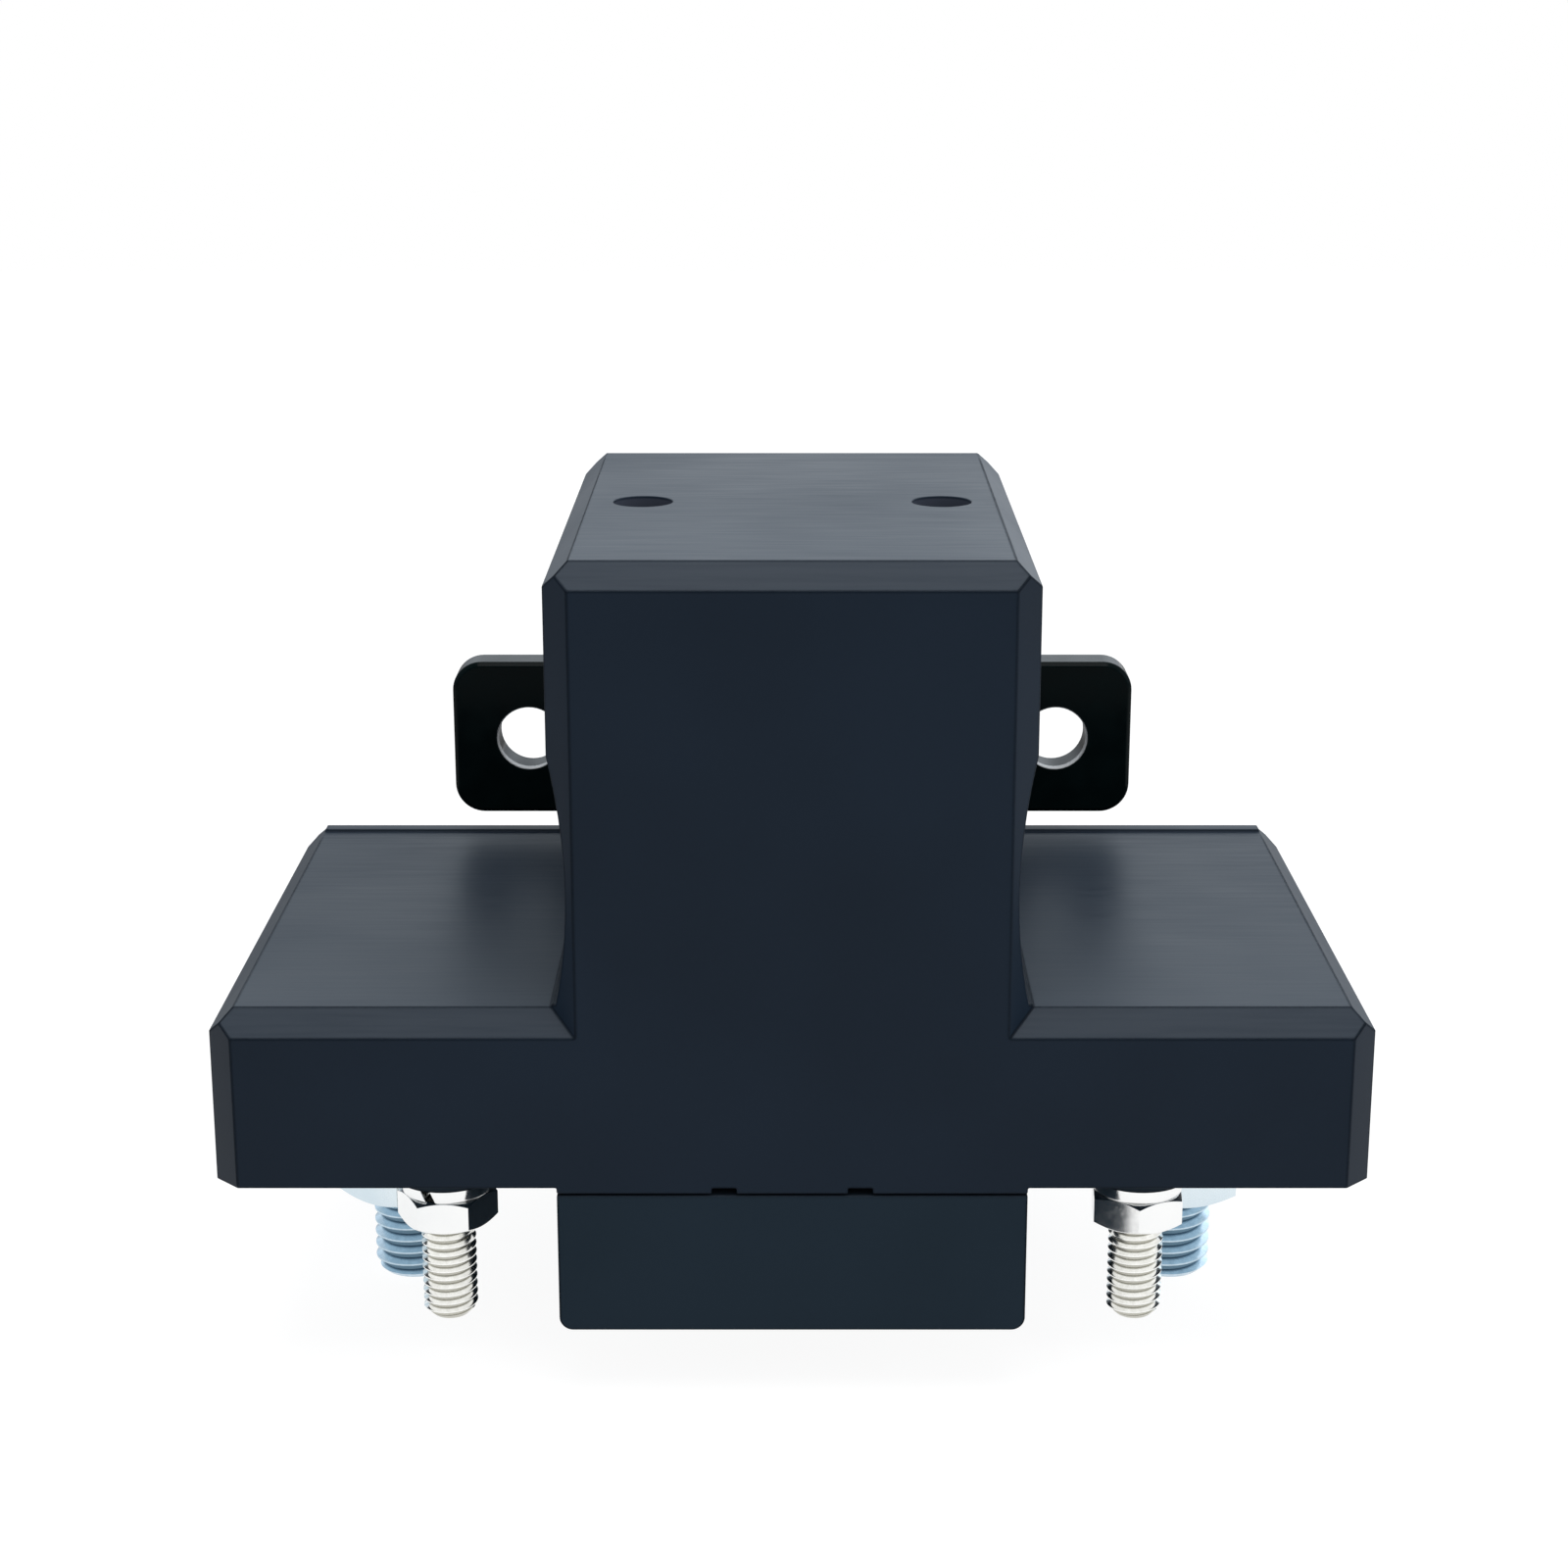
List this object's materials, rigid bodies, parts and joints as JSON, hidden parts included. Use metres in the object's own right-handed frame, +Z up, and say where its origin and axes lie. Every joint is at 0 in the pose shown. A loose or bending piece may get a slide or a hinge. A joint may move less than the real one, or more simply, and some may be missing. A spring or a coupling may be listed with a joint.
{
  "type": "starter relay",
  "caption": "Sealed direct-current starter relay in a T-shaped moulded housing, panel mounted by two ears, with main and coil studs below.",
  "frame": {"origin": "midway between the two mounting holes, on the back face of the mounting plate", "axes": "+X across the wings to the right seen from the front, +Y from the front face into the panel, +Z up the coil tower, away from the studs"},
  "size_m": [0.102, 0.059, 0.0758],
  "materials": {
    "housing_plastic": "satin moulded black thermoset",
    "base_plastic": "satin moulded black thermoset",
    "seal_rubber": "soft rubber",
    "plate_coating": "gloss black coating on steel",
    "screw_steel": "blackened steel",
    "main_zinc": "blue passivated zinc plating",
    "coil_zinc": "bright zinc plating",
    "copper": "bare copper",
    "silver_alloy": "silver alloy",
    "laminate": "insulating laminate",
    "magnet_steel": "soft iron, thin zinc",
    "bobbin_nylon": "natural nylon",
    "enamelled_wire": "enamelled copper wire",
    "tube_brass": "drawn brass",
    "lead_wire": "insulated copper wire",
    "spring_steel": "drawn steel wire and bar"
  },
  "bodies": {
    "relay_body": {"housing": "housing_plastic", "terminal_base": "base_plastic", "housing_seal": "seal_rubber", "mounting_plate": "plate_coating", "plate_screws": "screw_steel", "main_stud_left": "main_zinc", "main_stud_right": "main_zinc", "main_flat_washers": "main_zinc", "main_spring_washers": "main_zinc", "main_nuts": "main_zinc", "coil_stud_left": "coil_zinc", "coil_stud_right": "coil_zinc", "coil_spring_washers": "coil_zinc", "coil_nuts": "coil_zinc", "fixed_contact_left": "copper", "fixed_contact_right": "copper", "fixed_contact_tips": "silver_alloy", "barrier_plate": "laminate", "pole_plate": "magnet_steel", "yoke": "magnet_steel", "core": "magnet_steel", "bobbin": "bobbin_nylon", "winding": "enamelled_wire", "guide_tube": "tube_brass", "coil_lead_left": "lead_wire", "coil_lead_right": "lead_wire", "return_spring": "spring_steel"},
    "armature": {"plunger": "magnet_steel", "plunger_shaft": "spring_steel", "bridge_bush": "bobbin_nylon", "spring_seat": "spring_steel", "retaining_clip": "spring_steel", "contact_spring": "spring_steel"},
    "bridge": {"contact_bridge": "copper", "bridge_contact_tips": "silver_alloy"}
  },
  "joints": [
    {"name": "plunger_slide", "type": "slide", "parent": "relay_body", "child": "armature", "axis": [0, 0, 1], "range_m": [0, 0.0028], "stiffness_N_per_m": 1000, "springref_m": -0.006, "deforming": ["return_spring"]},
    {"name": "bridge_slide", "type": "slide", "parent": "armature", "child": "bridge", "axis": [0, 0, 1], "range_m": [-0.0006, 0], "deforming": ["contact_spring"]}
  ],
  "couplings": [
    {"joint": "bridge_slide", "follows": "plunger_slide", "ratio": -0.21429}
  ]
}
